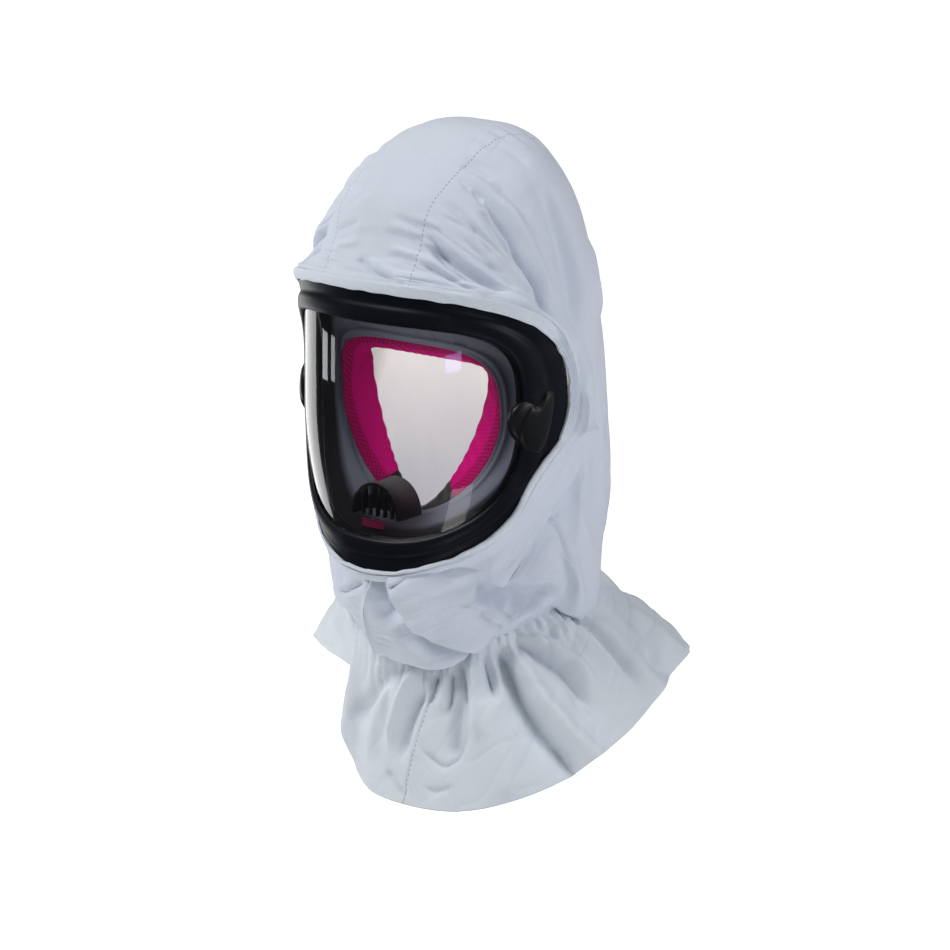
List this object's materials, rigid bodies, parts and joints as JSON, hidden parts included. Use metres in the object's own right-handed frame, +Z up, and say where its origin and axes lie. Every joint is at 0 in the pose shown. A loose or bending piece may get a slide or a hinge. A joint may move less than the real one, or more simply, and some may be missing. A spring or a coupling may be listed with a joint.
{
  "type": "short protective hood with full-face visor mask",
  "caption": "Short white nonwoven hood with a gathered shoulder cape, its elastic hem drawn round the black rim of a clear curved full-face visor with a textile face seal.",
  "frame": {"origin": "inside of the crown, where the top of the head sits", "axes": "+Z up along the worn head, -Y the way the face looks, +X the wearer's left"},
  "size_m": [0.2925, 0.2592, 0.437],
  "materials": {
    "hood_cloth": "matt spunbonded nonwoven",
    "hem_cloth": "matt spunbonded nonwoven, gathered",
    "cape_cloth": "matt spunbonded nonwoven",
    "rim_plastic": "satin black",
    "visor_clear": "polished clear polycarbonate",
    "boss_plastic": "satin black",
    "shroud_rubber": "soft matt charcoal",
    "seal_textile": "magenta perforated mesh",
    "lip_rubber": "satin black",
    "valve_plastic": "satin black",
    "tag_plastic": "plain magenta"
  },
  "bodies": {
    "root": {"hood_crown": "hood_cloth", "hood_side_left": "hood_cloth", "hood_side_right": "hood_cloth", "face_hem": "hem_cloth", "cape_left": "cape_cloth", "cape_right": "cape_cloth", "mask_frame": "rim_plastic", "visor": "visor_clear", "side_boss_left": "boss_plastic", "side_boss_right": "boss_plastic", "inner_shroud": "shroud_rubber", "face_seal": "seal_textile", "chin_lip": "lip_rubber", "chin_valve": "valve_plastic", "tag_plate": "tag_plastic"}
  },
  "joints": []
}
